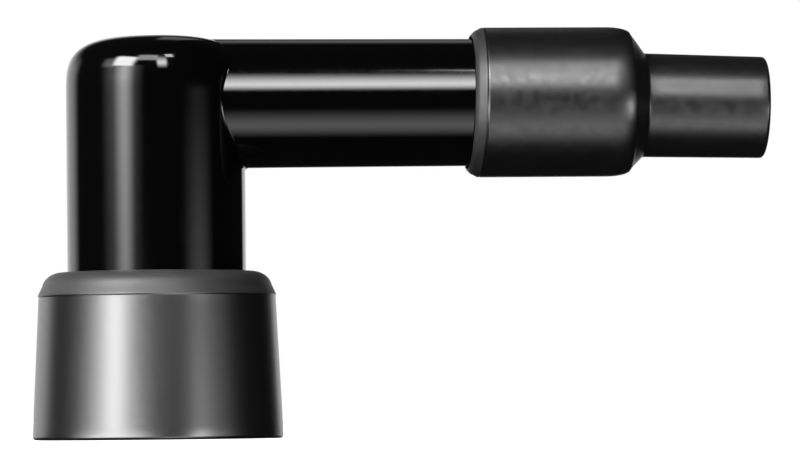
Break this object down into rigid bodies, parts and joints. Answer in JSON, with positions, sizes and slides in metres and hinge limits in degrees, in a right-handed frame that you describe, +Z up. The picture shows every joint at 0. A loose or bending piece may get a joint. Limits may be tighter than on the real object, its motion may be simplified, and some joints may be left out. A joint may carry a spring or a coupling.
{
  "type": "spark plug cap",
  "caption": "Right-angle spark plug cap: a moulded elbow with a domed barrel and a cable arm, a rubber plug boot below and a rubber cable seal on the arm's end.",
  "frame": {"origin": "centre of the seat inside the brass terminal, on the spark plug's axis, where the top of the plug's nut comes to rest; the mouth of the boot is 30.8 mm below it", "axes": "+Z up along the spark plug's axis, away from the plug; +X along the cable arm towards the cable; +Y to the side"},
  "size_m": [0.0797, 0.027, 0.0442],
  "materials": {
    "phenolic": "glossy moulded black",
    "rubber": "semi-matte moulded black",
    "brass": "turned brass",
    "spring_steel": "bright drawn wire",
    "ceramic": "fired off-white ceramic"
  },
  "bodies": {
    "root": {"elbow_body": "phenolic", "plug_boot": "rubber", "cable_seal": "rubber", "plug_terminal": "brass", "terminal_clip": "spring_steel", "elbow_insert": "brass", "contact_spring": "spring_steel", "suppressor_resistor": "ceramic", "resistor_cap_inner": "brass", "resistor_cap_outer": "brass", "cable_screw": "brass"}
  },
  "joints": []
}
